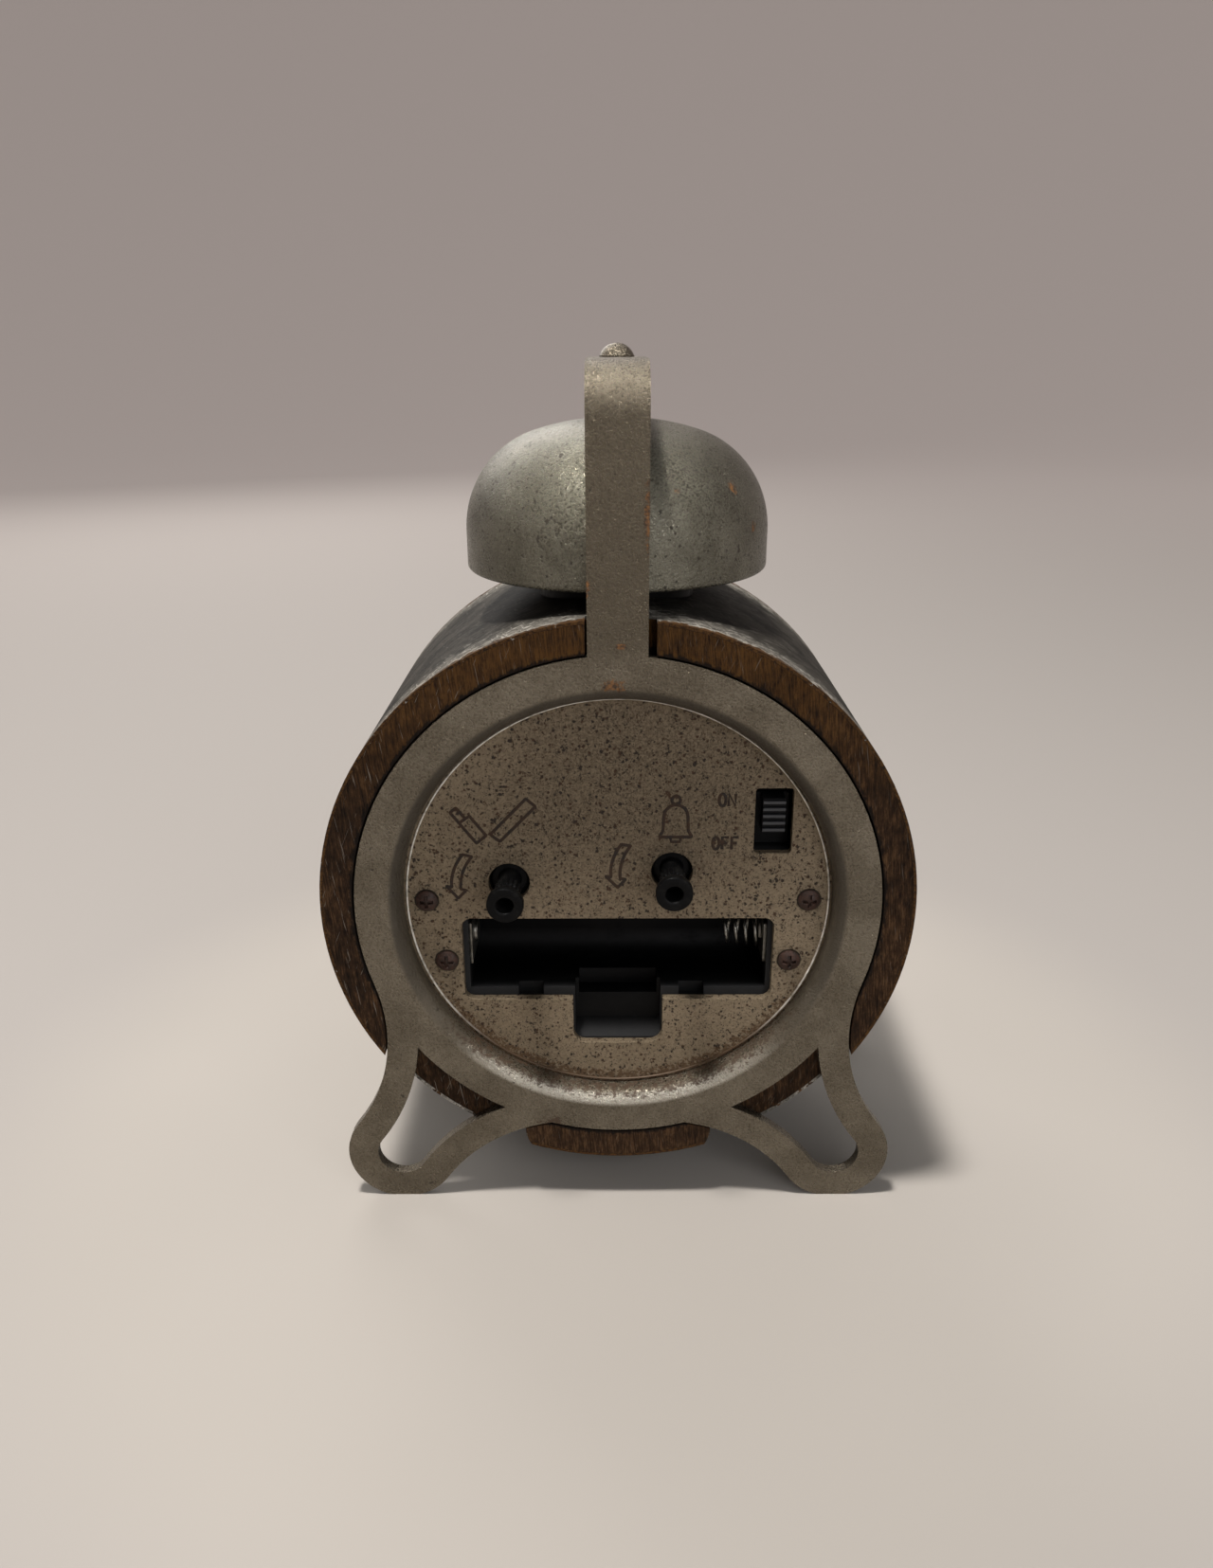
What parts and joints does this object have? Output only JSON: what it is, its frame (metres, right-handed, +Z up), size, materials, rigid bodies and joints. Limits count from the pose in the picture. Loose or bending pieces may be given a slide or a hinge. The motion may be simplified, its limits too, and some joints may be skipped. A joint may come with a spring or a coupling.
{
  "type": "twin-frame single-bell alarm clock",
  "caption": "Round desk alarm clock on looped wire-like feet, with one bell under a strap, setting knobs, an alarm switch and an open battery bay at the back.",
  "frame": {"origin": "on the floor under the middle of the clock's bounding box", "axes": "+Z up, dial faces -Y, setting side faces +Y, +X to the right of someone who reads the dial"},
  "size_m": [0.101, 0.0632, 0.1496],
  "materials": {
    "band_paint": "worn grey paint, scratched at the rim",
    "drum_wood": "brown stained, fibrous scratches",
    "frame_paint": "satin pewter grey with dark specks",
    "bell_paint": "satin grey with a faint green tint and specks",
    "cover_paint": "champagne, densely speckled",
    "rusty_screw": "rusted",
    "black_plastic": "satin black",
    "knob_plastic": "satin dark grey",
    "contact_metal": "nickel plated",
    "steel": "plain steel",
    "dial_white": "matt cream",
    "ring_black": "matt",
    "hand_black": "satin",
    "lens_clear": "clear polished"
  },
  "bodies": {
    "clock": {"case_band": "band_paint", "case_core": "drum_wood", "rear_frame": "frame_paint", "front_frame": "frame_paint", "back_cover": "cover_paint", "movement_housing": "black_plastic", "movement_lid": "black_plastic", "battery_contact": "contact_metal", "battery_spring": "contact_metal", "bell": "bell_paint", "bell_base": "black_plastic", "bell_sleeve": "steel", "strap_sleeve": "steel", "bell_post": "steel", "post_nut": "steel", "top_screw": "frame_paint", "dial": "dial_white", "dial_ring": "ring_black", "lens": "lens_clear", "dial_nut": "steel", "cover_screw_upper_left": "rusty_screw", "cover_screw_upper_right": "rusty_screw", "cover_screw_lower_left": "rusty_screw", "cover_screw_lower_right": "rusty_screw"},
    "time_knob": {"time_set_knob": "knob_plastic"},
    "alarm_knob": {"alarm_set_knob": "knob_plastic"},
    "switch": {"alarm_switch": "knob_plastic"},
    "alarm_pointer": {"alarm_hand": "hand_black"},
    "hour_pointer": {"hour_hand": "hand_black"},
    "minute_pointer": {"minute_hand": "hand_black"},
    "second_pointer": {"second_hand": "hand_black"}
  },
  "joints": [
    {"name": "time_knob_turn", "type": "hinge", "parent": "clock", "child": "time_knob", "pos_m": [0.0187, 0.02685, 0.0628], "axis": [0, 1, 0], "continuous": true},
    {"name": "minute_hand_turn", "type": "hinge", "parent": "clock", "child": "minute_pointer", "pos_m": [0, -0.018, 0.0593], "axis": [0, 1, 0], "continuous": true},
    {"name": "hour_hand_turn", "type": "hinge", "parent": "clock", "child": "hour_pointer", "pos_m": [0, -0.018, 0.0593], "axis": [0, 1, 0], "continuous": true},
    {"name": "alarm_knob_turn", "type": "hinge", "parent": "clock", "child": "alarm_knob", "pos_m": [-0.0093, 0.02685, 0.0648], "axis": [0, 1, 0], "continuous": true},
    {"name": "alarm_hand_turn", "type": "hinge", "parent": "clock", "child": "alarm_pointer", "pos_m": [0, -0.018, 0.0593], "axis": [0, 1, 0], "continuous": true},
    {"name": "second_hand_turn", "type": "hinge", "parent": "clock", "child": "second_pointer", "pos_m": [0, -0.018, 0.0593], "axis": [0, 1, 0], "continuous": true},
    {"name": "alarm_switch_slide", "type": "slide", "parent": "clock", "child": "switch", "axis": [0, 0, 1], "range_m": [-0.0034, 0]}
  ],
  "couplings": [
    {"joint": "minute_hand_turn", "follows": "time_knob_turn", "ratio": 1},
    {"joint": "hour_hand_turn", "follows": "time_knob_turn", "ratio": 0.083333},
    {"joint": "alarm_hand_turn", "follows": "alarm_knob_turn", "ratio": -0.5}
  ]
}
